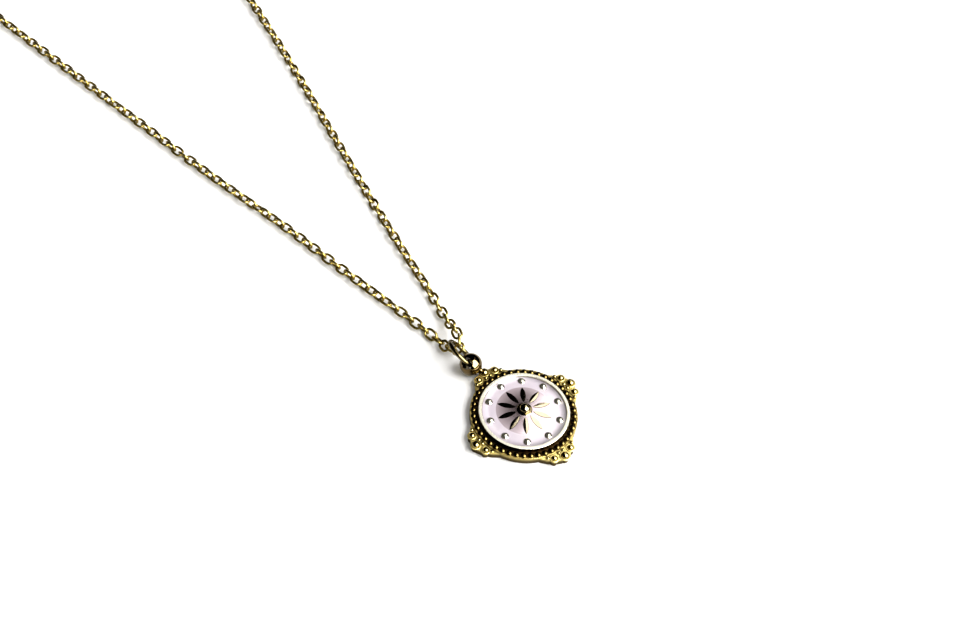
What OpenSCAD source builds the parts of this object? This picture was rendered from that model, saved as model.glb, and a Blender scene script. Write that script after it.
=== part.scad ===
// Star medallion necklace, lying flat: +Z is up, the back of the medallion is on Z = 0, and the
// ball bail and the chain lie on its +Y side. All sizes are millimetres.

/* [Setting] */
// Outer diameter of the round wall
setting_d = 14; // [13.95:0.05:14.1]
// Height of the round wall and of the ledge that carries the beads
setting_h = 1.08; // [1.04:0.02:1.12]
// Thickness of the plain back plate
back_t = 0.55; // [0.5:0.05:0.6]
// Number of beads round the border, a multiple of four so that one sits at each corner
bead_count = 44; // [40:4:44]
// Diameter of one border bead
bead_d = 0.9; // [0.84:0.02:0.9]
// Distance from the centre to the tip ball of a corner ornament
corner_reach = 8.05; // [7.95:0.05:8.1]
// Diameter of the ball at the tip of a corner ornament
tip_ball_d = 1.06; // [1:0.02:1.1]
// Diameter of the two side balls of a corner ornament
side_ball_d = 0.8; // [0.72:0.02:0.82]

/* [Dial] */
// Outer diameter of the dial, inside the setting
dial_d = 12; // [11.9:0.05:12]
// Width of the polished rim round the dial
rim_w = 0.5; // [0.4:0.05:0.6]
// Height of the rim above the back of the medallion
rim_z = 1.72; // [1.68:0.02:1.8]
// Height of the enamel field, where it meets the rim, above the back of the medallion
field_z = 1.5; // [1.46:0.02:1.54]
// Diameter of the raised star zone
star_d = 7.4; // [7.3:0.05:7.5]
// Rise of the star zone from its edge to its middle
star_rise = 0.32; // [0.26:0.02:0.4]
// Number of dots and of rays
ray_count = 10; // [8:1:12]
// Diameter of the circle of dots
dot_circle_d = 9.4; // [9.3:0.05:9.5]
// Diameter of one dot
dot_d = 0.9; // [0.8:0.05:1]
// Distance from the centre to the inner point of a ray
ray_in = 1.2; // [1.15:0.05:1.3]
// Distance from the centre to the outer point of a ray
ray_out = 3.58; // [3.4:0.02:3.6]
// Width of a ray at its middle
ray_w = 0.64; // [0.56:0.02:0.68]
// Diameter of the ball in the middle of the star
centre_ball_d = 1.5; // [1.4:0.05:1.6]

/* [Bail] */
// Diameter of the ball bail
bail_d = 3; // [2.9:0.05:3.1]
// Diameter of the hole drilled through the ball
bail_hole_d = 1.6; // [1.5:0.05:1.7]
// Angle by which the jump ring, and the hole with it, leans over from upright
ring_lean = 39; // [37:1:41]
// Angle at which the jump ring rises away from the ball
ring_rise = 8; // [7:0.5:9]
// Outer diameter of the jump ring
ring_d = 4.9; // [4.8:0.05:4.95]
// Wire of the jump ring
ring_wire = 0.6; // [0.5:0.05:0.65]

/* [Chain] */
// Width of the chain
chain_w = 1.5; // [1.4:0.05:1.5]

/* [Clasp] */
// Outer diameter of the round clasp
clasp_d = 6; // [5.8:0.1:6]
// Thickness of the clasp's body
clasp_wire = 1.2; // [1:0.05:1.2]
// Outer diameter of the small eye on the clasp
eye_d = 2.4; // [2.3:0.05:2.4]
// Wire of the eye
eye_wire = 0.5; // [0.45:0.01:0.52]
// Outer diameter of the ring that the clasp holds
end_ring_d = 3.6; // [3.5:0.05:3.7]
// Wire of the ring that the clasp holds
end_ring_wire = 0.5; // [0.45:0.01:0.52]

/* [Hidden] */

$fn = 64;
gap = 0.03;        // between pieces that are set into each other
chamfer = 0.1;

// Setting
dial_r = dial_d / 2;
pocket_r = dial_r + gap;
ledge_edge = 0.04;  // small bevel on the ledge's outer edge
bead_r = (setting_d - bead_d) / 2 - 0.02;
bead_z = setting_h - 0.1;
corner_h = 0.94;   // height of the plate under a corner ornament
corner_in = 6.5;   // where that plate starts
corner_line = [
    [6.35, -2.9], [7.2, -2.2], [7.98, -1.25], [8.28, -0.62], [8.4, 0],
    [8.28, 0.62], [7.98, 1.25], [7.2, 2.2], [6.35, 2.9]
];
side_at = [7.55, 1.36];
ball_rise = 0.07;  // height of the middle of a corner's balls above the plate
tip_collar_r = 0.62;   // cupped collars round the tip ball and the side balls
side_collar_r = 0.5;
collar_wire = 0.22;

// Grains of a corner ornament: distance out, distance to each side, height above the plate, diameter
corner_grains = [
    [7.24, 0.36, 0.05, 0.48],
    [7.06, 2.02, 0.08, 0.5]
];

// Dial
rim_in = dial_r - rim_w;
rim_fall = 0.12;   // how far the rim is rounded down at its outer edge
enamel_t = 0.22;
star_r = star_d / 2;
star_z = field_z + 0.12;   // the field is slightly crowned towards the star
hub_r = 1;         // edge of the metal hub under the centre ball
hub_rise = 0.05;   // height of the hub above the enamel
star_angle = atan(star_rise / (star_r - hub_r));
ray_mid = (ray_in + ray_out) / 2;
ray_half = (ray_out - ray_in) / 2;
ray_h = 0.04;      // height of a ray's ridge above its own edge
ray_lift = 0.05;   // height of that edge above the enamel
ray_root = 0.45;   // how far a ray runs down into the dial
dot_cap = 0.12;    // domed part of a dot
dot_rise = 0.14;   // height of a dot's edge above the edge of the field

// Bail and jump ring
bail_at = [-0.92, 9.75, 1.73];
neck_d = 0.6;
neck_in = 0.22;    // how far the neck runs into the ball
ring_r = (ring_d - ring_wire) / 2;
ring_off = ring_r - 0.22;   // from the ball's centre to the ring's centre

// Clasp, at the far end of the loop
clasp_at = [0, 214.5, 1.02];
clasp_tilt = 10;
clasp_r = (clasp_d - clasp_wire) / 2;
eye_r = (eye_d - eye_wire) / 2;
eye_off = clasp_d / 2 + 0.75;
eye_rise = 0.5;    // height of the eye's middle above the clasp's, so that the chain clears the table
end_ring_r = (end_ring_d - end_ring_wire) / 2;
end_ring_lean = 60;
end_ring_off = end_ring_r - (clasp_wire + end_ring_wire) / 2 - 0.1;
end_ring_at = [
    clasp_r * cos(clasp_tilt) + end_ring_off,
    clasp_at.y + 0.03,
    end_ring_r * sin(end_ring_lean) + end_ring_wire / 2 + 0.01
];

// Route of the chain's middle line: from the clasp's eye down the left side, through the jump
// ring, and up the right side to the end ring
chain_route = [
    [-5.15, 214.5, 0.76], [-9, 214.2, 0.74], [-16, 211.7, 0.71], [-23.5, 206, 0.7],
    [-28.8, 197, 0.7], [-30.8, 185, 0.7], [-29.6, 170, 0.7], [-26.6, 153, 0.7],
    [-22.8, 134, 0.7], [-18.5, 112, 0.7], [-15.2, 92.5, 0.7], [-12, 74, 0.7],
    [-9.1, 57.5, 0.7], [-6.4, 44.5, 0.7], [-3.9, 30, 0.71], [-2.4, 22, 0.72],
    [-1.6, 17.2, 0.75], [-1.3, 15.2, 0.9], [-1.49, 13.87, 1.03], [-1.37, 12.98, 1.34],
    [-0.75, 12.55, 1.92], [0, 12.83, 2.43], [0.44, 13.65, 2.57], [0.68, 14.9, 2.35],
    [1.1, 16.3, 1.55], [1.6, 18, 0.93], [2.7, 22.5, 0.76], [4.3, 30.6, 0.71],
    [7.2, 44, 0.7], [14.6, 76, 0.7], [18.5, 96, 0.7], [23, 121, 0.7],
    [27.4, 147, 0.7], [30.6, 171, 0.7], [30.4, 188, 0.7], [25.9, 202.5, 0.7],
    [16.4, 212, 0.71], [10.8, 214.3, 0.77], [7.7, 214.8, 0.9], [5, 214.5, 1.5]
];
route_last = len(chain_route) - 1;
chain_steps = 2;   // rings of the tube for each stretch of the route
chain_sides = 8;

// Length of one stretch of the route
function span(i) = norm(chain_route[i + 1] - chain_route[i]);

// Direction of one stretch of the route
function way(i) = (chain_route[i + 1] - chain_route[i]) / span(i);

// Direction of the route at a point, weighted by the stretches on its two sides
function heading(i) =
    i == 0 ? way(0) :
    i == route_last ? way(route_last - 1) :
    let (both = span(i) * way(i - 1) + span(i - 1) * way(i)) both / norm(both);

// Point on the smooth curve through the route, t of the way along stretch i
function on_route(i, t) =
    (2 * t ^ 3 - 3 * t ^ 2 + 1) * chain_route[i]
    + (t ^ 3 - 2 * t ^ 2 + t) * span(i) * heading(i)
    + (3 * t ^ 2 - 2 * t ^ 3) * chain_route[i + 1]
    + (t ^ 3 - t ^ 2) * span(i) * heading(i + 1);

// All the points that the tube's rings stand on
function chain_line() = [
    for (i = [0:route_last - 1]) for (k = [0:chain_steps - 1]) on_route(i, k / chain_steps),
    chain_route[route_last]
];

// Direction of a line of points at one of them
function line_way(line, i) =
    let (a = line[max(i - 1, 0)], b = line[min(i + 1, len(line) - 1)])
    (b - a) / norm(b - a);

// One ring of the tube: its corners, square to the line, with a flat side down
function tube_ring(at, along, r, sides) =
    let (across = cross(along, [0, 0, 1]) / norm(cross(along, [0, 0, 1])), up = cross(across, along))
    [for (k = [0:sides - 1]) let (a = (k + 0.5) * 360 / sides) at + r * (cos(a) * across + sin(a) * up)];

module sweep_tube(line, r, sides) {
    last = len(line) - 1;
    corners = [for (i = [0:last]) each tube_ring(line[i], line_way(line, i), r, sides)];
    walls = [
        for (i = [0:last - 1]) for (k = [0:sides - 1])
            let (a = i * sides + k, b = i * sides + (k + 1) % sides)
            [a, b, b + sides, a + sides]
    ];
    ends = [[for (k = [sides - 1:-1:0]) k], [for (k = [0:sides - 1]) last * sides + k]];
    polyhedron(points = corners, faces = concat(walls, ends), convexity = 8);
}

module torus(ring_radius, wire_d) {
    rotate_extrude() translate([ring_radius, 0]) circle(d = wire_d, $fn = 32);
}

// Turns a shape whose own X is the way through the jump ring and Y the way out to the chain
module at_ring_pose() {
    translate(bail_at) rotate([ring_rise, 0, 0]) rotate([0, -ring_lean, 0]) children();
}

module round_wall() {
    wall_r = setting_d / 2;
    rotate_extrude() polygon([
        [0, 0], [wall_r - chamfer, 0], [wall_r, chamfer], [wall_r, setting_h - ledge_edge],
        [wall_r - ledge_edge, setting_h], [pocket_r, setting_h], [pocket_r, back_t], [0, back_t]
    ]);
}

module bead_border() {
    for (k = [0:bead_count - 1])
        rotate(k * 360 / bead_count) translate([bead_r, 0, bead_z]) sphere(d = bead_d, $fn = 32);
}

// Plate under a corner ornament, with the outline of its three lobes
module corner_plate() {
    lip = 0.08;
    difference() {
        union() {
            linear_extrude(corner_h) polygon(corner_line);
            translate([corner_reach - lip, 0, 0]) cylinder(d = tip_ball_d + lip, h = corner_h);
            for (side = [-1, 1])
                translate([side_at.x, side * side_at.y, 0])
                    cylinder(d = side_ball_d + 2 * lip, h = corner_h);
        }
        translate([0, 0, -1]) cylinder(r = corner_in, h = corner_h + 2);
    }
}

// Cast relief of a corner: a tip ball and two side balls in cupped collars, and grains between them
module corner_relief() {
    translate([corner_reach, 0, corner_h + ball_rise]) sphere(d = tip_ball_d, $fn = 32);
    translate([corner_reach, 0, corner_h]) torus(tip_collar_r, collar_wire);
    for (side = [-1, 1]) {
        translate([side_at.x, side * side_at.y, corner_h + ball_rise]) sphere(d = side_ball_d, $fn = 32);
        translate([side_at.x, side * side_at.y, corner_h]) torus(side_collar_r, collar_wire);
        for (g = corner_grains)
            translate([g[0], side * g[1], corner_h + g[2]]) sphere(d = g[3], $fn = 32);
    }
}

// Ball with a hole drilled through it, held by a short soldered neck on the top corner's tip ball
module ball_bail() {
    neck_at = [0, corner_reach, corner_h + ball_rise];
    run = bail_at - neck_at;
    at_ring_pose() difference() {
        sphere(d = bail_d);
        cylinder(d = bail_hole_d, h = 2 * bail_d, center = true);
    }
    translate(neck_at)
        rotate([0, acos(run.z / norm(run)), atan2(run.y, run.x)])
            cylinder(d = neck_d, h = norm(run) - bail_d / 2 + neck_in, $fn = 32);
}

module setting() color("goldenrod") {
    round_wall();
    bead_border();
    for (k = [0:3]) rotate(90 * k) {
        corner_plate();
        corner_relief();
    }
    ball_bail();
}

// Lens-shaped column from z = 0 up, its length along X, as wide as a ray and wide_by more all round
module ray_column(wide_by, h) {
    r = (ray_half ^ 2 + (ray_w / 2) ^ 2) / ray_w;
    intersection_for (side = [-1, 1])
        translate([0, side * (r - ray_w / 2), 0]) cylinder(r = r + wide_by, h = h);
}

// Roof of a ray: where two large balls meet in a ridge
module ray_roof() {
    ridge_r = (ray_half ^ 2 + ray_h ^ 2) / (2 * ray_h);
    side_off = (ridge_r ^ 2 - (ridge_r - ray_h) ^ 2 - (ray_w / 2) ^ 2) / ray_w;
    intersection_for (side = [-1, 1])
        translate([0, side * side_off, ray_h - ridge_r]) sphere(r = sqrt(ridge_r ^ 2 + side_off ^ 2));
}

// Moves a shape to a ray's place on the slope of the star zone
module at_ray(k) {
    rise = (star_r - ray_mid) * tan(star_angle);
    rotate(k * 360 / ray_count + 90) translate([ray_mid, 0, star_z + rise])
        rotate([0, star_angle, 0]) children();
}

module ray() {
    translate([0, 0, ray_lift]) intersection() {
        translate([0, 0, -ray_root]) ray_column(0, 1);
        ray_roof();
    }
}

module dot() {
    cap_r = ((dot_d / 2) ^ 2 + dot_cap ^ 2) / (2 * dot_cap);
    intersection() {
        translate([0, 0, field_z - enamel_t - 0.1]) cylinder(d = dot_d, h = 1, $fn = 32);
        translate([0, 0, field_z + dot_rise + dot_cap - cap_r]) sphere(r = cap_r);
    }
}

module at_dots() {
    for (k = [0:ray_count - 1])
        rotate(k * 360 / ray_count + 90) translate([dot_circle_d / 2, 0, 0]) children();
}

module dial() color("gold") {
    ease = 0.05;
    hub_z = star_z + star_rise + hub_rise;
    rotate_extrude() polygon([
        [0, back_t + gap], [dial_r, back_t + gap], [dial_r, rim_z - rim_fall],
        [dial_r - ease, rim_z - rim_fall / 3], [dial_r - 3 * ease, rim_z],
        [rim_in + ease, rim_z], [rim_in, rim_z - ease], [rim_in, field_z - enamel_t],
        [star_r, star_z - enamel_t], [hub_r - gap, star_z + star_rise - enamel_t],
        [hub_r - gap, hub_z - ease], [hub_r - gap - ease, hub_z], [0, hub_z]
    ]);
    at_dots() dot();
    for (k = [0:ray_count - 1]) at_ray(k) ray();
    translate([0, 0, hub_z + ease]) sphere(d = centre_ball_d);
}

module enamel() color("thistle") {
    under = enamel_t - gap;
    difference() {
        rotate_extrude() polygon([
            [hub_r, star_z + star_rise - under], [star_r, star_z - under], [rim_in - gap, field_z - under],
            [rim_in - gap, field_z], [star_r, star_z], [hub_r, star_z + star_rise]
        ]);
        at_dots() translate([0, 0, back_t]) cylinder(d = dot_d + 2 * gap, h = 2, $fn = 32);
        for (k = [0:ray_count - 1]) at_ray(k) translate([0, 0, -0.6]) ray_column(gap, 1.2);
    }
}

module jump_ring() color("gold") {
    at_ring_pose() translate([0, ring_off, 0]) rotate([0, 90, 0]) torus(ring_r, ring_wire);
}

module chain() color("darkgoldenrod") {
    sweep_tube(chain_line(), chain_w / 2, chain_sides);
}

module clasp() color("gold") {
    translate(clasp_at) rotate([0, -clasp_tilt, 0]) {
        torus(clasp_r, clasp_wire);
        translate([-eye_off, 0, eye_rise]) torus(eye_r, eye_wire);
    }
}

module end_ring() color("gold") {
    translate(end_ring_at) rotate([end_ring_lean, 0, 0]) torus(end_ring_r, end_ring_wire);
}

setting();
dial();
enamel();
jump_ring();
chain();
clasp();
end_ring();
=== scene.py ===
import math
import random

import bmesh
import bpy
from mathutils import Matrix, Vector


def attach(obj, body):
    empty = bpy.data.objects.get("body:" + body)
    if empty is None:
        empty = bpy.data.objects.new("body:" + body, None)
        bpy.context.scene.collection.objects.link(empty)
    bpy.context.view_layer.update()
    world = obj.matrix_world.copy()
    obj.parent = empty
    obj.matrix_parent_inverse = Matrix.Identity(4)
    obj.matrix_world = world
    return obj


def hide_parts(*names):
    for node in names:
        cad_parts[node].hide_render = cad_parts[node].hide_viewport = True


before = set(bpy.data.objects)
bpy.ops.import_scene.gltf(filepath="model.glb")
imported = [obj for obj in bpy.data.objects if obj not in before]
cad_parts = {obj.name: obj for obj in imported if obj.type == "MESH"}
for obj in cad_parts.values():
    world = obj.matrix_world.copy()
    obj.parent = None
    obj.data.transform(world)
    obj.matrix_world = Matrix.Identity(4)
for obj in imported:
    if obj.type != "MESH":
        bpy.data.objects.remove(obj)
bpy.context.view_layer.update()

MM = 0.001

# Camera, found from the dial's outline and the pitch of the chain in the photograph; in mm and degrees
LENS = 56.25
SENSOR = 36
CAMERA_DISTANCE = 203.44
CAMERA_ELEVATION = 52
CAMERA_AZIMUTH = -45
CAMERA_ROLL = 6.9
CAMERA_AIM = Vector((5.68, 15.66, 0))
CAMERA_NEAREST = 5      # what is nearer than this isn't seen

# An oval link of the chain, in mm
LINK_LONG = 2.1
LINK_WIDE = 1.5
LINK_WIRE = 0.35
LINK_PITCH = 1.353
LINK_BEND_STEPS = 6     # sides of one round end of a link
WIRE_SIDES = 6

# The middle line that the links follow, in mm. It is the line of the CAD model's tube.
CHAIN_ROUTE = [
    (-5.15, 214.5, 0.76), (-9, 214.2, 0.74), (-16, 211.7, 0.71), (-23.5, 206, 0.7),
    (-28.8, 197, 0.7), (-30.8, 185, 0.7), (-29.6, 170, 0.7), (-26.6, 153, 0.7),
    (-22.8, 134, 0.7), (-18.5, 112, 0.7), (-15.2, 92.5, 0.7), (-12, 74, 0.7),
    (-9.1, 57.5, 0.7), (-6.4, 44.5, 0.7), (-3.9, 30, 0.71), (-2.4, 22, 0.72),
    (-1.6, 17.2, 0.75), (-1.3, 15.2, 0.9), (-1.49, 13.87, 1.03), (-1.37, 12.98, 1.34),
    (-0.75, 12.55, 1.92), (0, 12.83, 2.43), (0.44, 13.65, 2.57), (0.68, 14.9, 2.35),
    (1.1, 16.3, 1.55), (1.6, 18, 0.93), (2.7, 22.5, 0.76), (4.3, 30.6, 0.71),
    (7.2, 44, 0.7), (14.6, 76, 0.7), (18.5, 96, 0.7), (23, 121, 0.7),
    (27.4, 147, 0.7), (30.6, 171, 0.7), (30.4, 188, 0.7), (25.9, 202.5, 0.7),
    (16.4, 212, 0.71), (10.8, 214.3, 0.77), (7.7, 214.8, 0.9), (5, 214.5, 1.5),
]
ROUTE_STEPS = 24        # points of the smooth line on each stretch of the route
RING_POINT = 20         # the point of the route inside the jump ring
TABLE_ROUTE_Z = 0.7     # the route's height where the chain lies on the table
RISE_START_Z = 0.8      # the route's height where the chain begins to leave the table
RISE_HEIGHT = 0.5       # how much higher it has left the table
EYE_CONTACT = (-4.45, 214.5, 0.7)
END_RING_CONTACT = (4.25, 214.53, 1.6)
TURN_EASE = 0.6         # how far the joint at the sharpest turn is drawn in between its neighbours, 0 to 1

# How the links lie: normals of the three links that hold a ring or an eye, and the chain's twist in degrees
EYE_LINK_NORMAL = Vector((0, 1, 0))
RING_LINK_NORMAL = Vector((-0.601, 0.187, 0.777))
END_LINK_NORMAL = Vector((0, 0.5, 0.866))
LEFT_TWIST = 0
RIGHT_TWIST = -66
TWISTS_BEFORE_RING = [(-9, LEFT_TWIST), (-6, 38), (-3, 45)]     # (links from the jump ring, twist)
TWISTS_AFTER_RING = [(5, -30), (14, RIGHT_TWIST)]
END_TWIST_LINKS = 9     # links over which the twist at the clasp and at the end ring dies away
HELD_LINKS = 6          # links over which a held link steadies its neighbours
SWAYS = [(12, 0.31, 1), (9, 0.83, 0)]   # (degrees, radians a link, radians at the first link)
UNEVENNESS = 8          # degrees by which chance turns a free link
SEED = 7

# Zones of the medallion: radii from its axis and heights above its back, in mm
STAR_R = 3.7            # the dial's star field
DOTS_R = 5.3            # between the dots and the rim
RIM_EDGE_R = 5.95       # where the top of the rim turns down
BORDER_EDGE_R = 6.82    # where the painted shade on the ground between the border's beads ends
CORNER_R = 7            # where the corner ornaments begin
WALL_Z = (0.5, 0.95)    # where the wall's painted shade gives way to the plate's gold
RAISED_Z = (1.1, 1.2)   # above these stand only the beads, balls and grains
ZONE_BLUR = 0.04        # mm over which one zone passes into the next, at most places
DOTS_BLUR = 0.05
BORDER_BLUR = 0.05
CORNER_BLUR = 0.1
LEVEL_COSINES = (0.95, 0.97)    # of a face's slope: less than the first isn't level, more than the second is

# Slopes that are shaded and not modelled, mm per mm
STAR_SLOPE = 0.086      # the star field's rise to its middle
CORNER_SLOPE = 0.14     # the fall of a corner's domed plate
RAY_FLATNESS = 0.6      # how far the rays' ridges are polished away, 0 to 1

# Highly polished balls, as middle and radius in mm
BAIL_BALL = ((-0.92, 9.75, 1.73), 1.52)
CENTRE_BALL = ((0, 0, 2.04), 1.03)
BALL_BLUR = 0.06

# Hollows, which get painted shade: how far off their walls are, in mm, and the shares of open sky deep
# inside and on open ground
CAST_HOLLOW = 0.8
DIAL_HOLLOW = 0.2
HOLLOW_SKY = (0.25, 0.85)
# Reach and sky shares of the painted shade along the enamel's edges
EDGE_SHADE_REACH = 0.16
EDGE_SHADE_SKY = (0.6, 0.9)

# Unevenness, as waves a mm and their octaves
PLATING_CLOUDS = (1.3, 4)
PLATING_SPREAD = (0.35, 0.7)    # noise values between which the plating goes from pale to deep
POLISH_SPECKS = (14, 3)
POLISH_SHARES = (0.75, 1.4)     # least and most roughness, as shares of the metal's own
POLISH_WAVES = (3.5, 2)
WAVE_STRENGTH = 0.35
WAVE_DEPTH = 0.01               # mm
SATIN_CLOUDS = (1.1, 3)
ENAMEL_CLOUDS = (0.55, 4)
ENAMEL_SPECKS = (2, 2)
TABLE_CLOUDS = (0.02, 3)
TABLE_SPECKS = (0.4, 3)
NOISE_SPREAD = (0.3, 0.7)       # noise values that count as least and most

# Roughness
CAST_ROUGH = 0.16
DIAL_ROUGH = 0.1
RING_ROUGH = 0.2
CLASP_ROUGH = 0.12
CHAIN_ROUGH = 0.26
PLATE_ROUGH = 0.4
ENAMEL_ROUGH = (0.2, 0.26)
GLAZE_ROUGH = 0.04
TABLE_ROUGH = (0.5, 0.62)
TABLE_SHEEN = 0.2

# Roughness of some zones, as shares of their metal's own
BALL_HAZE = 0.3
BEAD_HAZE = 1.3
DOT_HAZE = 0.9
RIM_HAZE = 2.6

# How metallic some zones are, 0 to 1
PLATE_METAL = 0.85
DOT_METAL = 0.86
RIM_METAL = 0.46
FOIL_METAL = (0.9, 0.42)        # near the star's middle and at its edge
FOIL_START_R = 0.7              # mm from the axis, where the first of these begins to fall

# The enamel creeps up towards the rim between these radii, by this height, in mm
CREEP_R = (4.3, 5.5)
CREEP_HEIGHT = 0.66

# Colours
PALE_GOLD = (0.3, 0.25, 0.12)
DEEP_GOLD = (0.2, 0.16, 0.07)
# Painted dark reflection: the bail ball's colour, darkened so that it mirrors dark
BAIL_BALL_PAINTED_DARK = (0.15, 0.11, 0.055)
# Painted dark reflection: the border beads' colour, darkened so that they mirror dark
BEAD_PAINTED_DARK = (0.09, 0.068, 0.027)
PLATE_GOLD = (0.42, 0.34, 0.135)
# Painted light: the corners' plate, lighter than the rest of the plate
CORNER_PAINTED_LIGHT = (0.6, 0.5, 0.21)
# Painted shade on the setting's outer wall
SETTING_WALL_SHADE = (0.085, 0.062, 0.024)
# Painted shade on the ground between and around the border's beads
BEAD_GAP_SHADE = (0.06, 0.04, 0.015)
# Painted shade, laid in hollows and on the steep faces of the star
PAINTED_SHADE = (0.03, 0.014, 0.005)
DIAL_GOLD = (0.5, 0.44, 0.32)
DIAL_DEEP_GOLD = (0.44, 0.38, 0.27)
# Painted dark reflection: the dial's middle ball, darkened so that it mirrors dark
CENTRE_BALL_PAINTED_DARK = (0.26, 0.215, 0.13)
# Painted shade on the dial's outer wall
DIAL_SIDE_SHADE = (0.07, 0.045, 0.02)
SATIN_CREAM = (0.77, 0.74, 0.61)
SATIN_WHITE = (0.82, 0.79, 0.68)
RING_GOLD = (0.17, 0.14, 0.07)
RING_DEEP_GOLD = (0.13, 0.105, 0.05)
CHAIN_GOLD = (0.36, 0.29, 0.11)
CHAIN_DEEP_GOLD = (0.26, 0.195, 0.055)
FIELD_LILACS = [(0.3, (0.555, 0.5, 0.55)), (0.55, (0.585, 0.53, 0.575)), (0.75, (0.61, 0.56, 0.585))]
FOIL_LILACS = [(0.2, (0.42, 0.34, 0.34)), (1.0, (0.66, 0.57, 0.6))]
# Painted shade where the enamel meets the rim, the dots and the rays
ENAMEL_EDGE_SHADE = (0.2, 0.14, 0.12)
TABLE_GREY = (0.83, 0.83, 0.83)
TABLE_WHITE = (0.86, 0.86, 0.86)
ROOM_WHITE = (1, 0.98, 0.95, 1)

# Lights: the even room, and three panels that face the pendant. A direction is an azimuth and an elevation
# in degrees, as ground_direction takes them.
ROOM_STRENGTH = 0.42
LIGHT_DISTANCE = 3.0    # m
STAR_MIRRORS = (1.7, 55.5)      # what level metal at the star mirrors to the camera
STAR_PANEL_SIDE = (106, 4)      # the way from there to the star's panel
STAR_PANEL_START = 4.5          # and how far its near edge is, in degrees
STAR_PANEL_WIDTH = 20
STAR_PANEL_HEIGHT = 44
STAR_PANEL_RADIANCE = 1.9
WINDOW_DIRECTION = (113, 42)
WINDOW_SIZE = 62        # degrees
WINDOW_RADIANCE = 12
KEY_DIRECTION = (98, 44)
KEY_SIZE = 2.8          # m
KEY_RADIANCE = 5.1
TABLE_HALF = 3          # half the table top's side, m


# Shader helpers

def new_material(name):
    """An empty node material; returns it with its nodes, its links and its Principled shader."""
    mat = bpy.data.materials.new(name)
    mat.use_nodes = True
    nodes = mat.node_tree.nodes
    return mat, nodes, mat.node_tree.links, nodes["Principled BSDF"]


def source_of(bsdf, key):
    """The socket that feeds one of a shader's inputs."""
    return bsdf.inputs[key].links[0].from_socket


def millimetre_coords(nodes, links, stretch=(1, 1, 1)):
    """Object coordinates in millimetres, stretched."""
    coord = nodes.new("ShaderNodeTexCoord")
    mapping = nodes.new("ShaderNodeMapping")
    mapping.inputs["Scale"].default_value = [s / MM for s in stretch]
    links.new(coord.outputs["Object"], mapping.inputs["Vector"])
    return mapping.outputs["Vector"]


def noise(nodes, links, vector, grain):
    """Noise from 0 to 1; its grain is its scale and its octaves."""
    tex = nodes.new("ShaderNodeTexNoise")
    tex.inputs["Scale"].default_value, tex.inputs["Detail"].default_value = grain
    links.new(vector, tex.inputs["Vector"])
    return tex.outputs["Fac"]


def ramp(nodes, links, value, stops):
    """Colour ramp through stops of (position, colour)."""
    node = nodes.new("ShaderNodeValToRGB")
    elements = node.color_ramp.elements
    while len(elements) < len(stops):
        elements.new(0.5)
    for element, (place, colour) in zip(elements, stops):
        element.position = place
        element.color = (*colour, 1)
    links.new(value, node.inputs["Fac"])
    return node.outputs["Color"]


def mapped(nodes, links, value, low, high, to_low, to_high):
    """A value's range from low to high, mapped onto another range and clamped to it."""
    node = nodes.new("ShaderNodeMapRange")
    for key, number in zip(("From Min", "From Max", "To Min", "To Max"), (low, high, to_low, to_high)):
        node.inputs[key].default_value = number
    links.new(value, node.inputs["Value"])
    return node.outputs["Result"]


def varied(nodes, links, vector, grain, least, most, spread=NOISE_SPREAD):
    """A number that noise varies between two others."""
    return mapped(nodes, links, noise(nodes, links, vector, grain), *spread, least, most)


def mixed(nodes, links, factor, first, second):
    """Mix of two colours, each a socket or a plain colour."""
    node = nodes.new("ShaderNodeMix")
    node.data_type = "RGBA"
    for key, colour in ((6, first), (7, second)):
        if isinstance(colour, tuple):
            node.inputs[key].default_value = (*colour, 1)
        else:
            links.new(colour, node.inputs[key])
    links.new(factor, node.inputs[0])
    return node.outputs[2]


def mixed_number(nodes, links, factor, first, second):
    """A plain number where the factor is 0, a socket's value where it is 1."""
    node = nodes.new("ShaderNodeMix")
    node.inputs[2].default_value = first
    links.new(factor, node.inputs[0])
    links.new(second, node.inputs[3])
    return node.outputs[0]


def product(nodes, links, first, second):
    node = nodes.new("ShaderNodeMath")
    node.operation = "MULTIPLY"
    links.new(first, node.inputs[0])
    links.new(second, node.inputs[1])
    return node.outputs[0]


def bump(nodes, links, shape, height, strength, bsdf):
    """Shades the surface as raised by a shape from 0 to 1, up to a height in mm."""
    node = nodes.new("ShaderNodeBump")
    node.inputs["Strength"].default_value = strength
    node.inputs["Distance"].default_value = height * MM
    links.new(shape, node.inputs["Height"])
    links.new(node.outputs["Normal"], bsdf.inputs["Normal"])


# Masks: where on the medallion a point is, each 0 to 1

def from_axis(nodes, links):
    """Distance from the medallion's axis, in millimetres."""
    radius = nodes.new("ShaderNodeVectorMath")
    radius.operation = "LENGTH"
    links.new(millimetre_coords(nodes, links, stretch=(1, 1, 0)), radius.inputs[0])
    return radius.outputs["Value"]


def inside(nodes, links, radius, edge, blur=ZONE_BLUR):
    """1 inside a radius, 0 beyond it."""
    return mapped(nodes, links, radius, edge - blur, edge, 1, 0)


def beyond(nodes, links, radius, edge, blur=ZONE_BLUR):
    """0 inside a radius, 1 beyond it."""
    return mapped(nodes, links, radius, edge, edge + blur, 0, 1)


def above(nodes, links, heights):
    """0 below the first of two heights and 1 above the second."""
    split = nodes.new("ShaderNodeSeparateXYZ")
    links.new(millimetre_coords(nodes, links), split.inputs[0])
    return mapped(nodes, links, split.outputs["Z"], *heights, 0, 1)


def near(nodes, links, coords, ball):
    """1 on a ball given by its middle and radius, 0 beyond it."""
    middle, radius = ball
    gap = nodes.new("ShaderNodeVectorMath")
    gap.operation = "DISTANCE"
    gap.inputs[1].default_value = middle
    links.new(coords, gap.inputs[0])
    return mapped(nodes, links, gap.outputs["Value"], radius, radius + BALL_BLUR, 1, 0)


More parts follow.
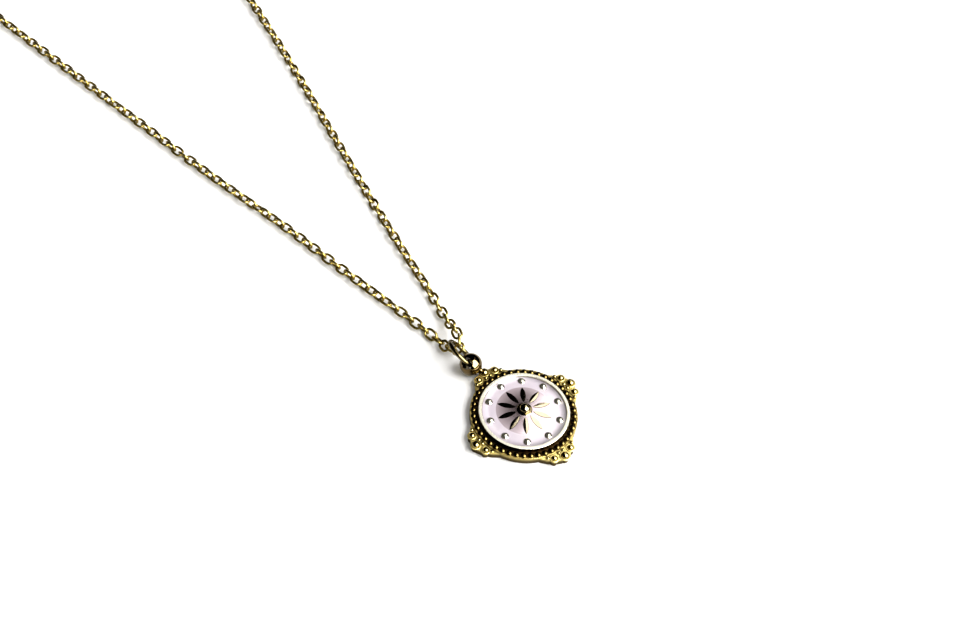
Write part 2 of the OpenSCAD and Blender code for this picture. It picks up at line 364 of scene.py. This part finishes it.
def in_hollow(nodes, links, reach, sky=HOLLOW_SKY):
    """1 deep in a hollow and 0 on open ground, for walls up to reach mm away."""
    shade = nodes.new("ShaderNodeAmbientOcclusion")
    shade.inputs["Distance"].default_value = reach * MM
    return mapped(nodes, links, shade.outputs["AO"], *sky, 1, 0)


def facing_up(nodes, links):
    """1 on faces that lie nearly level, 0 on the others."""
    facing = nodes.new("ShaderNodeSeparateXYZ")
    links.new(nodes.new("ShaderNodeNewGeometry").outputs["Normal"], facing.inputs[0])
    return mapped(nodes, links, facing.outputs["Z"], *LEVEL_COSINES, 0, 1)


def cone_normal(nodes, links, slope, where):
    """The normal of a shallow cone round the medallion's axis in one place, the surface's own elsewhere."""
    outward = nodes.new("ShaderNodeVectorMath")
    outward.operation = "NORMALIZE"
    links.new(millimetre_coords(nodes, links, stretch=(1, 1, 0)), outward.inputs[0])
    tilted = nodes.new("ShaderNodeVectorMath")
    tilted.operation = "MULTIPLY_ADD"
    tilted.inputs[1].default_value = (slope, slope, 0)
    tilted.inputs[2].default_value = (0, 0, 1)
    links.new(outward.outputs[0], tilted.inputs[0])
    own = nodes.new("ShaderNodeNewGeometry")
    chosen = nodes.new("ShaderNodeMix")
    chosen.data_type = "VECTOR"
    links.new(where, chosen.inputs[0])
    links.new(own.outputs["Normal"], chosen.inputs[4])
    links.new(tilted.outputs[0], chosen.inputs[5])
    unit = nodes.new("ShaderNodeVectorMath")
    unit.operation = "NORMALIZE"
    links.new(chosen.outputs[1], unit.inputs[0])
    return unit.outputs[0]


# Materials

def gold(name, colour, deep_colour, rough, hollow_reach=0, ball=None, ball_painted_dark=None):
    """Plated gold of slightly uneven colour and polish, with painted shade in hollows whose walls are
    hollow_reach mm away, and a painted dark reflection for its colour and a higher polish on a ball."""
    mat, nodes, links, bsdf = new_material(name)
    bsdf.inputs["Metallic"].default_value = 1
    coords = millimetre_coords(nodes, links)
    clouds = varied(nodes, links, coords, PLATING_CLOUDS, 0, 1, PLATING_SPREAD)
    tone = mixed(nodes, links, clouds, colour, deep_colour)
    if hollow_reach:
        # Painted shade in the hollows
        tone = mixed(nodes, links, in_hollow(nodes, links, hollow_reach), tone, PAINTED_SHADE)
    haze = varied(nodes, links, coords, POLISH_SPECKS, *(rough * share for share in POLISH_SHARES))
    if ball:
        # On the ball, a painted dark reflection takes the place of the colour
        on_ball = near(nodes, links, coords, ball)
        tone = mixed(nodes, links, on_ball, tone, ball_painted_dark)
        haze = product(nodes, links, haze, mapped(nodes, links, on_ball, 0, 1, 1, BALL_HAZE))
    links.new(tone, bsdf.inputs["Base Color"])
    links.new(haze, bsdf.inputs["Roughness"])
    bump(nodes, links, noise(nodes, links, coords, POLISH_WAVES), WAVE_DEPTH, WAVE_STRENGTH, bsdf)
    return mat


def cast_gold(name):
    """The setting's metal: polished beads and balls on a duller plate whose corners are domed, with painted
    dark reflections on the beads and the bail ball, painted light on the corners' plate, and painted shade
    on the wall, between the beads and in hollows.
    """
    mat = gold(name, PALE_GOLD, DEEP_GOLD, CAST_ROUGH, CAST_HOLLOW, BAIL_BALL, BAIL_BALL_PAINTED_DARK)
    nodes, links = mat.node_tree.nodes, mat.node_tree.links
    bsdf = nodes["Principled BSDF"]
    radius = from_axis(nodes, links)
    raised = above(nodes, links, RAISED_Z)
    corner = beyond(nodes, links, radius, CORNER_R, CORNER_BLUR)
    border = inside(nodes, links, radius, BORDER_EDGE_R, BORDER_BLUR)
    # Painted light: the corners' plate is lighter
    plate = mixed(nodes, links, corner, PLATE_GOLD, CORNER_PAINTED_LIGHT)
    # Painted shade in the plate's hollows
    plate = mixed(nodes, links, in_hollow(nodes, links, CAST_HOLLOW), plate, PAINTED_SHADE)
    # Painted shade on the ground between the border's beads
    plate = mixed(nodes, links, border, plate, BEAD_GAP_SHADE)
    # Painted shade on the lower wall
    plate = mixed(nodes, links, above(nodes, links, WALL_Z), SETTING_WALL_SHADE, plate)
    # Painted dark reflection on the border's beads
    domes = mixed(nodes, links, corner, BEAD_PAINTED_DARK, source_of(bsdf, "Base Color"))
    links.new(mixed(nodes, links, raised, plate, domes), bsdf.inputs["Base Color"])
    links.new(mapped(nodes, links, raised, 0, 1, PLATE_METAL, 1), bsdf.inputs["Metallic"])
    bead_haze = mapped(nodes, links, corner, 0, 1, BEAD_HAZE, 1)
    haze = product(nodes, links, source_of(bsdf, "Roughness"), bead_haze)
    links.new(mixed_number(nodes, links, raised, PLATE_ROUGH, haze), bsdf.inputs["Roughness"])
    waves = source_of(bsdf, "Normal").node
    domed = product(nodes, links, corner, facing_up(nodes, links))
    links.new(cone_normal(nodes, links, CORNER_SLOPE, domed), waves.inputs["Normal"])
    return mat


def pale_gold(name):
    """The dial's metal: polished under the star, satin and nearly white on the rim and the dots, with
    painted shade on the star's steep faces and the dial's outer wall and a painted dark reflection on the
    middle ball.
    """
    mat = gold(name, DIAL_GOLD, DIAL_DEEP_GOLD, DIAL_ROUGH, DIAL_HOLLOW, CENTRE_BALL, CENTRE_BALL_PAINTED_DARK)
    nodes, links = mat.node_tree.nodes, mat.node_tree.links
    bsdf = nodes["Principled BSDF"]
    coords = millimetre_coords(nodes, links)
    radius = from_axis(nodes, links)
    top = inside(nodes, links, radius, RIM_EDGE_R)
    satin = product(nodes, links, beyond(nodes, links, radius, STAR_R), top)
    level = facing_up(nodes, links)
    base = source_of(bsdf, "Base Color")
    # Painted shade on the star's steep faces, such as the rays' sides, but not on the middle ball
    star = mixed(nodes, links, level, PAINTED_SHADE, base)
    star = mixed(nodes, links, near(nodes, links, coords, CENTRE_BALL), star, base)
    # Painted shade on the dial's outer wall, beyond the top of the rim
    polished = mixed(nodes, links, top, DIAL_SIDE_SHADE, star)
    cream = mixed(nodes, links, noise(nodes, links, coords, SATIN_CLOUDS), SATIN_CREAM, SATIN_WHITE)
    links.new(mixed(nodes, links, satin, polished, cream), bsdf.inputs["Base Color"])
    haze = mapped(nodes, links, radius, DOTS_R, DOTS_R + DOTS_BLUR, DOT_HAZE, RIM_HAZE)
    haze = mixed_number(nodes, links, satin, 1.0, haze)
    links.new(product(nodes, links, source_of(bsdf, "Roughness"), haze), bsdf.inputs["Roughness"])
    metal = mapped(nodes, links, radius, DOTS_R, DOTS_R + DOTS_BLUR, DOT_METAL, RIM_METAL)
    links.new(mixed_number(nodes, links, satin, 1.0, metal), bsdf.inputs["Metallic"])
    waves = source_of(bsdf, "Normal").node
    flattened = mapped(nodes, links, radius, STAR_R, STAR_R + ZONE_BLUR, RAY_FLATNESS, 0)
    rays = product(nodes, links, level, flattened)
    links.new(cone_normal(nodes, links, STAR_SLOPE, rays), waves.inputs["Normal"])
    return mat


def pearl_enamel(name):
    """Pale lilac enamel, clear over a sloping metal foil inside the star, with a glossy skin."""
    mat, nodes, links, bsdf = new_material(name)
    coords = millimetre_coords(nodes, links)
    radius = from_axis(nodes, links)
    in_star = inside(nodes, links, radius, STAR_R)
    field = ramp(nodes, links, noise(nodes, links, coords, ENAMEL_CLOUDS), FIELD_LILACS)
    foil = ramp(nodes, links, mapped(nodes, links, radius, 0, STAR_R, 0, 1), FOIL_LILACS)
    tone = mixed(nodes, links, in_star, field, foil)
    # Painted shade where the enamel meets raised metal
    edge_shade = in_hollow(nodes, links, EDGE_SHADE_REACH, EDGE_SHADE_SKY)
    links.new(mixed(nodes, links, edge_shade, tone, ENAMEL_EDGE_SHADE), bsdf.inputs["Base Color"])
    foil_metal = mapped(nodes, links, radius, FOIL_START_R, STAR_R, *FOIL_METAL)
    links.new(product(nodes, links, in_star, foil_metal), bsdf.inputs["Metallic"])
    haze = varied(nodes, links, coords, ENAMEL_SPECKS, *ENAMEL_ROUGH)
    links.new(haze, bsdf.inputs["Roughness"])
    bsdf.inputs["Coat Weight"].default_value = 1
    bsdf.inputs["Coat Roughness"].default_value = GLAZE_ROUGH
    way = mapped(nodes, links, radius, *CREEP_R, 0, 1)
    creep = product(nodes, links, way, product(nodes, links, way, way))
    bump(nodes, links, creep, CREEP_HEIGHT, 1.0, bsdf)
    return mat


def table_white(name):
    """Matt white board."""
    mat, nodes, links, bsdf = new_material(name)
    coords = millimetre_coords(nodes, links)
    tone = mixed(nodes, links, noise(nodes, links, coords, TABLE_CLOUDS), TABLE_GREY, TABLE_WHITE)
    links.new(tone, bsdf.inputs["Base Color"])
    haze = varied(nodes, links, coords, TABLE_SPECKS, *TABLE_ROUGH)
    links.new(haze, bsdf.inputs["Roughness"])
    bsdf.inputs["Specular IOR Level"].default_value = TABLE_SHEEN
    return mat


# Chain

def smooth_line(points, steps):
    """Points on the smooth curve through a route, with steps of them to each stretch."""
    spans = [(b - a).length for a, b in zip(points, points[1:])]
    ways = [(b - a).normalized() for a, b in zip(points, points[1:])]
    headings = [ways[0]]
    for i in range(1, len(ways)):
        headings.append((spans[i] * ways[i - 1] + spans[i - 1] * ways[i]).normalized())
    headings.append(ways[-1])
    line = []
    for i, span in enumerate(spans):
        for k in range(steps):
            t = k / steps
            line.append(
                (2 * t**3 - 3 * t**2 + 1) * points[i]
                + (t**3 - 2 * t**2 + t) * span * headings[i]
                + (3 * t**2 - 2 * t**3) * points[i + 1]
                + (t**3 - t**2) * span * headings[i + 1]
            )
    line.append(points[-1])
    return line


def distances_along(line):
    """The distance along a line at each of its points."""
    total = [0.0]
    for a, b in zip(line, line[1:]):
        total.append(total[-1] + (b - a).length)
    return total


def point_at(line, total, s):
    """The point at distance s along a line."""
    low, high = 0, len(total) - 1
    while high - low > 1:
        middle = (low + high) // 2
        if total[middle] <= s:
            low = middle
        else:
            high = middle
    t = (s - total[low]) / (total[high] - total[low])
    return line[low].lerp(line[high], t)


def make_link():
    """One oval link round the origin, long along X and flat in XY."""
    bend_r = (LINK_WIDE - LINK_WIRE) / 2
    straight = LINK_LONG - LINK_WIDE
    bm = bmesh.new()
    place = Matrix.Translation((straight / 2, -bend_r, 0)) @ Matrix.Rotation(math.pi / 2, 4, "Y")
    first = bmesh.ops.create_circle(bm, segments=WIRE_SIDES, radius=LINK_WIRE / 2, matrix=place)["verts"]
    first_edges = list(bm.edges)

    def bend(geom, centre_x):
        turned = bmesh.ops.spin(
            bm, geom=geom, cent=(centre_x, 0, 0), axis=(0, 0, 1), dvec=(0, 0, 0),
            angle=math.pi, steps=LINK_BEND_STEPS, use_merge=False, use_duplicate=False,
        )
        return [e for e in turned["geom_last"] if isinstance(e, bmesh.types.BMEdge)]

    edges = bend(first + first_edges, straight / 2)
    side = bmesh.ops.extrude_edge_only(bm, edges=edges)["geom"]
    side_verts = [v for v in side if isinstance(v, bmesh.types.BMVert)]
    bmesh.ops.translate(bm, verts=side_verts, vec=(-straight, 0, 0))
    side_edges = [e for e in side if isinstance(e, bmesh.types.BMEdge)]
    last_edges = bend(side_verts + side_edges, -straight / 2)
    bmesh.ops.bridge_loops(bm, edges=last_edges + first_edges)
    bmesh.ops.recalc_face_normals(bm, faces=bm.faces)
    for face in bm.faces:
        face.smooth = True
    mesh = bpy.data.meshes.new("link")
    bm.to_mesh(mesh)
    bm.free()
    return mesh


def local_up(way):
    """The direction square to a way that is nearest to straight up."""
    side = way.cross(Vector((0, 0, 1))).normalized()
    return side.cross(way).normalized()


def roll_of(normal, way):
    """Angle, in degrees, that turns local_up onto a link's normal."""
    up = local_up(way)
    side = way.cross(up)
    return math.degrees(math.atan2(normal.dot(side), normal.dot(up)))


def eased(t):
    """0 to 1, slow at both ends."""
    t = min(max(t, 0), 1)
    return t * t * (3 - 2 * t)


def between(table, x):
    """Value at x in a table of (x, value), eased from row to row."""
    for (x0, v0), (x1, v1) in zip(table, table[1:]):
        if x <= x1:
            return v0 + (v1 - v0) * eased((x - x0) / (x1 - x0))
    return table[-1][1]


def nearest_twist(roll, parity, wanted):
    """The twist that gives a link of this parity its roll, chosen near to the wanted one."""
    twist = roll - 90 * parity
    return twist + 180 * round((wanted - twist) / 180)


def chain_joints():
    """The points where link meets link, each link's middle as a share of the way between its two, and the
    number of the link at the jump ring.

    Beside the jump ring the chain turns sharply, each time about the middle of a link's round end, so four
    joints there are moved along the line onto such middles.
    """
    points = [Vector(p) for p in [EYE_CONTACT, *CHAIN_ROUTE[1:-1], END_RING_CONTACT]]
    line = smooth_line(points, ROUTE_STEPS)
    total = distances_along(line)
    at_ring = total[RING_POINT * ROUTE_STEPS]
    left = at_ring - LINK_PITCH / 2
    right = total[-1] - at_ring - LINK_PITCH / 2
    ring_link = round(left / LINK_PITCH)
    right_count = round(right / LINK_PITCH)
    stations = [left * k / ring_link for k in range(ring_link + 1)]
    stations += [total[-1] - right * (1 - k / right_count) for k in range(right_count + 1)]
    middles = [(s + t) / 2 for s, t in zip(stations, stations[1:])]
    to_end_middle = LINK_PITCH / 2 - (LINK_LONG - LINK_WIDE) / 2
    for k, sign in enumerate((-1, 1, -1, -1)):
        stations[ring_link - 1 + k] += sign * to_end_middle
    shares = [(m - s) / (t - s) for m, s, t in zip(middles, stations, stations[1:])]
    joints = [point_at(line, total, s) for s in stations]
    corner = ring_link + 2
    joints[corner] = joints[corner].lerp((joints[corner - 1] + joints[corner + 1]) / 2, TURN_EASE)
    return joints, shares, ring_link


def chain_rolls(joints, ring_link):
    """Roll of each link: neighbours stand square to each other, leaning on the table by half a turn each."""
    rng = random.Random(SEED)
    count = len(joints) - 1
    ways = [(b - a).normalized() for a, b in zip(joints, joints[1:])]
    eye_twist = nearest_twist(roll_of(EYE_LINK_NORMAL, ways[0]), -ring_link % 2, LEFT_TWIST)
    ring_twist = nearest_twist(roll_of(RING_LINK_NORMAL, ways[ring_link]), 0, 0)
    end_twist = nearest_twist(roll_of(END_LINK_NORMAL, ways[-1]), (count - 1 - ring_link) % 2, RIGHT_TWIST)
    table = [(0, eye_twist), (END_TWIST_LINKS, LEFT_TWIST)]
    table += [(ring_link + k, twist) for k, twist in TWISTS_BEFORE_RING]
    table += [(ring_link, ring_twist)]
    table += [(ring_link + k, twist) for k, twist in TWISTS_AFTER_RING]
    table += [(count - 1 - END_TWIST_LINKS, RIGHT_TWIST), (count - 1, end_twist)]
    rolls = []
    for i in range(count):
        free = 1
        for held in (ring_link, 0, count - 1):
            free *= eased(abs(i - held) / HELD_LINKS)
        sway = sum(size * math.sin(i * pace + start) for size, pace, start in SWAYS)
        turned = free * (sway + rng.uniform(-UNEVENNESS, UNEVENNESS))
        rolls.append(between(table, i) + 90 * ((i - ring_link) % 2) + turned)
    return rolls


def lying_height(roll):
    """Height of a link's middle above the table when it lies at this roll."""
    return (LINK_WIDE - LINK_WIRE) / 2 * abs(math.sin(math.radians(roll))) + LINK_WIRE / 2


def set_on_table(joints, rolls):
    """Moves the joints up or down so that the links touch the table, where the route lies on it."""
    heights = [lying_height(r) for r in rolls]
    settled = []
    for k, joint in enumerate(joints):
        needed = max(heights[max(k - 1, 0):k + 1])
        lying = 1 - eased((joint.z - RISE_START_Z) / RISE_HEIGHT)
        settled.append(joint + Vector((0, 0, (needed - TABLE_ROUTE_Z) * lying)))
    return settled


def make_chain(material):
    """All links as one mesh, in place of the CAD model's tube."""
    joints, shares, ring_link = chain_joints()
    rolls = chain_rolls(joints, ring_link)
    joints = set_on_table(joints, rolls)
    link = make_link()
    bm = bmesh.new()
    for a, b, share, roll in zip(joints, joints[1:], shares, rolls):
        way = (b - a).normalized()
        normal = Matrix.Rotation(math.radians(roll), 3, way) @ local_up(way)
        across = normal.cross(way)
        place = Matrix((way, across, normal)).transposed().to_4x4()
        place.translation = a.lerp(b, share)
        copy = link.copy()
        copy.transform(Matrix.Scale(MM, 4) @ place)
        bm.from_mesh(copy)
        bpy.data.meshes.remove(copy)
    mesh = bpy.data.meshes.new("chain_links")
    bm.to_mesh(mesh)
    bm.free()
    bpy.data.meshes.remove(link)
    mesh.materials.append(material)
    obj = bpy.data.objects.new("chain_links", mesh)
    bpy.context.collection.objects.link(obj)
    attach(obj, "root")
    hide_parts("chain")


# Stage

def make_table_top():
    bm = bmesh.new()
    bmesh.ops.create_grid(bm, x_segments=1, y_segments=1, size=TABLE_HALF)
    mesh = bpy.data.meshes.new("table_top")
    bm.to_mesh(mesh)
    bm.free()
    mesh.materials.append(table_white("table_white"))
    table = bpy.data.objects.new("table_top", mesh)
    bpy.context.collection.objects.link(table)


def ground_direction(azimuth, elevation):
    """Unit vector to a light: azimuth 0 is straight away from the camera, 90 is to its right."""
    back = math.radians(90 + CAMERA_AZIMUTH)
    angle = back - math.radians(azimuth)
    e = math.radians(elevation)
    return Vector((math.cos(e) * math.cos(angle), math.cos(e) * math.sin(angle), math.sin(e)))


def panel_light(name, away, width, height, radiance, across=None):
    """A rectangular light that faces the pendant; across is the way its width runs, level unless given."""
    light = bpy.data.lights.new(name, "AREA")
    light.shape = "RECTANGLE"
    light.size = width
    light.size_y = height
    light.energy = radiance * math.pi * width * height
    obj = bpy.data.objects.new(name, light)
    bpy.context.collection.objects.link(obj)
    x = across or Vector((0, 0, 1)).cross(away)
    y = away.cross(x).normalized()
    x = y.cross(away)
    pose = Matrix((x, y, away)).transposed().to_4x4()
    pose.translation = away * LIGHT_DISTANCE
    obj.matrix_world = pose
    return obj


def glossy_panel(name, away, width, height, radiance, across=None):
    """A panel seen only in reflections; its width and height are given in degrees."""
    size_x, size_y = (2 * LIGHT_DISTANCE * math.tan(math.radians(angle / 2)) for angle in (width, height))
    panel = panel_light(name, away, size_x, size_y, radiance, across)
    panel.visible_diffuse = False


def make_star_panel():
    """A panel that begins a little to the right of what level metal mirrors to the camera, so the slopes of
    the star split into a lit and a dark part."""
    mirrored = ground_direction(*STAR_MIRRORS)
    toward_panel = ground_direction(*STAR_PANEL_SIDE)
    toward_panel = (toward_panel - toward_panel.dot(mirrored) * mirrored).normalized()
    to_middle = math.radians(STAR_PANEL_START + STAR_PANEL_WIDTH / 2)
    away = mirrored * math.cos(to_middle) + toward_panel * math.sin(to_middle)
    glossy_panel("star_panel", away, STAR_PANEL_WIDTH, STAR_PANEL_HEIGHT, STAR_PANEL_RADIANCE, toward_panel)


def make_lights():
    make_star_panel()
    glossy_panel("window", ground_direction(*WINDOW_DIRECTION), WINDOW_SIZE, WINDOW_SIZE, WINDOW_RADIANCE)
    key = panel_light("key", ground_direction(*KEY_DIRECTION), KEY_SIZE, KEY_SIZE, KEY_RADIANCE)
    key.visible_glossy = False


def make_world():
    """An even white room that metal doesn't mirror."""
    world = bpy.data.worlds.new("room")
    bpy.context.scene.world = world
    world.use_nodes = True
    background = world.node_tree.nodes["Background"]
    background.inputs["Color"].default_value = ROOM_WHITE
    background.inputs["Strength"].default_value = ROOM_STRENGTH
    world.cycles_visibility.glossy = False


def make_camera():
    camera = bpy.data.cameras.new("camera")
    camera.lens = LENS
    camera.sensor_width = SENSOR
    camera.clip_start = CAMERA_NEAREST * MM
    obj = bpy.data.objects.new("camera", camera)
    bpy.context.collection.objects.link(obj)
    away = -ground_direction(0, -CAMERA_ELEVATION)
    right = Vector((0, 0, 1)).cross(away).normalized()
    up = away.cross(right)
    roll = math.radians(CAMERA_ROLL)
    x = math.cos(roll) * right + math.sin(roll) * up
    y = -math.sin(roll) * right + math.cos(roll) * up
    pose = Matrix((x, y, away)).transposed().to_4x4()
    pose.translation = (CAMERA_AIM + away * CAMERA_DISTANCE) * MM
    obj.matrix_world = pose
    bpy.context.scene.camera = obj


def set_material(node, material):
    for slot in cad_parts[node].material_slots:
        slot.material = material


make_camera()
make_world()
make_table_top()
make_lights()

view = bpy.context.scene.view_settings
view.view_transform = "Standard"
view.look = "High Contrast"
view.exposure = 0

set_material("setting", cast_gold("cast_gold"))
set_material("dial", pale_gold("polished_gold"))
set_material("enamel", pearl_enamel("pearl_enamel"))
set_material("jump_ring", gold("ring_gold", RING_GOLD, RING_DEEP_GOLD, RING_ROUGH))
clasp_gold = gold("clasp_gold", PALE_GOLD, DEEP_GOLD, CLASP_ROUGH)
set_material("clasp", clasp_gold)
set_material("end_ring", clasp_gold)
make_chain(gold("chain_gold", CHAIN_GOLD, CHAIN_DEEP_GOLD, CHAIN_ROUGH))
